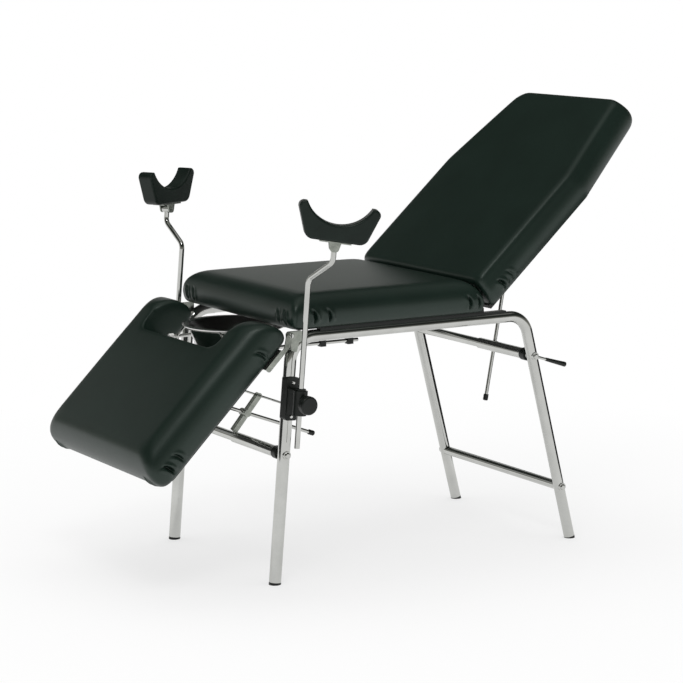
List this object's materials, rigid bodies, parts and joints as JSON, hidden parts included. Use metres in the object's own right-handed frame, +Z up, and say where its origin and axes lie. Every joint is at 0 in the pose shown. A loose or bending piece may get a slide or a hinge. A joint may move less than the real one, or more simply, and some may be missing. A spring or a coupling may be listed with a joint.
{
  "type": "gynaecological examination couch",
  "caption": "Examination couch with a chromed tube frame, dark upholstered seat, raised back, lowered leg section, knee crutches and a sliding bowl.",
  "frame": {"origin": "centre of the couch's outline on the floor", "axes": "+Z up, +X from the leg section to the head end, -Y the side with the release lever"},
  "size_m": [1.5608, 0.9896, 1.1892],
  "materials": {
    "chrome_tube": "polished",
    "bright_fittings": "polished",
    "zinc_plate": "satin",
    "dark_vinyl": "gloss",
    "plywood_board": "matte",
    "moulded_crutch": "satin",
    "black_plastic": "satin",
    "white_plastic": "satin",
    "steel_bowl": "polished"
  },
  "bodies": {
    "frame": {"front_leg_near": "chrome_tube", "front_leg_far": "chrome_tube", "side_rail_near": "chrome_tube", "side_rail_far": "chrome_tube", "front_cross_tube": "chrome_tube", "rear_upper_cross_tube": "chrome_tube", "rear_lower_cross_tube": "chrome_tube", "cross_tube_screws": "bright_fittings", "saddle_washers": "bright_fittings", "feet_front": "black_plastic", "feet_rear": "black_plastic", "rail_strips": "black_plastic", "seat_pad": "dark_vinyl", "seat_board": "plywood_board", "back_hinge_fixed_leaves": "zinc_plate", "back_hinge_pins": "bright_fittings", "leg_hinge_brackets": "zinc_plate", "leg_hinge_pins": "bright_fittings", "front_tube_bush": "black_plastic", "stirrup_clamp_block_near": "black_plastic", "stirrup_clamp_block_far": "black_plastic", "stirrup_block_screws": "bright_fittings", "bowl_guides": "black_plastic"},
    "back_section": {"back_pad": "dark_vinyl", "back_board": "plywood_board", "back_hinge_moving_leaves": "zinc_plate", "back_stay_bracket": "zinc_plate", "back_stay_pin": "bright_fittings"},
    "back_stay": {"back_stay_rod": "bright_fittings", "back_stay_cap": "black_plastic"},
    "back_clamp": {"back_clamp_sleeve": "chrome_tube"},
    "back_lever": {"lever_hub": "black_plastic", "lever_rod": "bright_fittings", "lever_grip": "black_plastic"},
    "leg_section": {"leg_pad": "dark_vinyl", "leg_board": "plywood_board", "leg_hinge_leaves": "zinc_plate", "leg_stay_bracket": "zinc_plate", "leg_stay_pin": "bright_fittings"},
    "leg_stay": {"leg_stay_rod": "bright_fittings", "leg_stay_cap": "black_plastic"},
    "leg_clamp": {"leg_clamp_sleeve": "chrome_tube", "leg_clamp_arms": "zinc_plate"},
    "leg_release": {"leg_release_bar": "bright_fittings", "leg_release_grip": "black_plastic"},
    "bowl_slide": {"bowl": "steel_bowl", "bowl_holder": "chrome_tube", "slide_rod_caps": "white_plastic"},
    "stirrup_swivel_near": {"stirrup_bush_near": "black_plastic"},
    "stirrup_pole_near": {"stirrup_post_near": "chrome_tube"},
    "knee_rest_near": {"crutch_near": "moulded_crutch", "crutch_bracket_near": "zinc_plate"},
    "clamp_knob_near": {"stirrup_knob_near": "black_plastic"},
    "stirrup_swivel_far": {"stirrup_bush_far": "black_plastic"},
    "stirrup_pole_far": {"stirrup_post_far": "chrome_tube"},
    "knee_rest_far": {"crutch_far": "moulded_crutch", "crutch_bracket_far": "zinc_plate"},
    "clamp_knob_far": {"stirrup_knob_far": "black_plastic"}
  },
  "joints": [
    {"name": "back_hinge", "type": "hinge", "parent": "frame", "child": "back_section", "pos_m": [0.245, 0, 0.675], "axis": [0, -1, 0], "range_deg": [-42, 18]},
    {"name": "back_clamp_turn", "type": "hinge", "parent": "frame", "child": "back_clamp", "pos_m": [0.40366, 0, 0.525], "axis": [0, -1, 0], "range_deg": [-21.7, 9.4]},
    {"name": "back_stay_turn", "type": "hinge", "parent": "back_section", "child": "back_stay", "pos_m": [0.46946, -0.072, 0.76138], "axis": [0, -1, 0], "range_deg": [-8.8, 20.5]},
    {"name": "back_lever_turn", "type": "hinge", "parent": "frame", "child": "back_lever", "pos_m": [0.40366, -0.25, 0.525], "axis": [0, -1, 0], "range_deg": [0, 60]},
    {"name": "leg_hinge", "type": "hinge", "parent": "frame", "child": "leg_section", "pos_m": [-0.364, 0, 0.647], "axis": [0, -1, 0], "range_deg": [-45, 22]},
    {"name": "leg_clamp_turn", "type": "hinge", "parent": "frame", "child": "leg_clamp", "pos_m": [-0.37515, 0, 0.338], "axis": [0, -1, 0], "range_deg": [-20.9, 10.3]},
    {"name": "leg_stay_turn", "type": "hinge", "parent": "leg_section", "child": "leg_stay", "pos_m": [-0.52098, -0.033, 0.4674], "axis": [0, -1, 0], "range_deg": [-11.9, 24.3]},
    {"name": "leg_release_turn", "type": "hinge", "parent": "leg_clamp", "child": "leg_release", "pos_m": [-0.31007, 0, 0.44566], "axis": [0, -1, 0], "range_deg": [0, 60]},
    {"name": "bowl_slide_move", "type": "slide", "parent": "frame", "child": "bowl_slide", "axis": [1, 0, 0], "range_m": [0, 0.15]},
    {"name": "stirrup_swing_near", "type": "hinge", "parent": "frame", "child": "stirrup_swivel_near", "pos_m": [-0.3634, -0.343, 0.48], "axis": [0.0821, 0, 0.9966], "range_deg": [-45, 45]},
    {"name": "stirrup_height_near", "type": "slide", "parent": "stirrup_swivel_near", "child": "stirrup_pole_near", "axis": [0.0821, 0, 0.9966], "range_m": [-0.06, 0.03]},
    {"name": "knee_tilt_near", "type": "hinge", "parent": "stirrup_pole_near", "child": "knee_rest_near", "pos_m": [-0.3139, -0.42742, 0.88162], "axis": [0.4446, 0.8957, 0], "range_deg": [-20, 20]},
    {"name": "clamp_knob_turn_near", "type": "hinge", "parent": "frame", "child": "clamp_knob_near", "pos_m": [-0.36338, -0.38, 0.48083], "axis": [0, -1, 0], "continuous": true},
    {"name": "stirrup_swing_far", "type": "hinge", "parent": "frame", "child": "stirrup_swivel_far", "pos_m": [-0.3634, 0.343, 0.48], "axis": [0.0821, 0, 0.9966], "range_deg": [-45, 45]},
    {"name": "stirrup_height_far", "type": "slide", "parent": "stirrup_swivel_far", "child": "stirrup_pole_far", "axis": [0.0821, 0, 0.9966], "range_m": [-0.06, 0.03]},
    {"name": "knee_tilt_far", "type": "hinge", "parent": "stirrup_pole_far", "child": "knee_rest_far", "pos_m": [-0.33773, 0.42853, 0.90164], "axis": [-0.4446, 0.8957, 0], "range_deg": [-20, 20]},
    {"name": "clamp_knob_turn_far", "type": "hinge", "parent": "frame", "child": "clamp_knob_far", "pos_m": [-0.36338, 0.38, 0.48083], "axis": [0, 1, 0], "continuous": true}
  ],
  "couplings": [
    {"joint": "back_clamp_turn", "follows": "back_hinge", "ratio": 0.515},
    {"joint": "back_stay_turn", "follows": "back_hinge", "ratio": -0.485},
    {"joint": "leg_clamp_turn", "follows": "leg_hinge", "ratio": 0.462},
    {"joint": "leg_stay_turn", "follows": "leg_hinge", "ratio": -0.538}
  ]
}
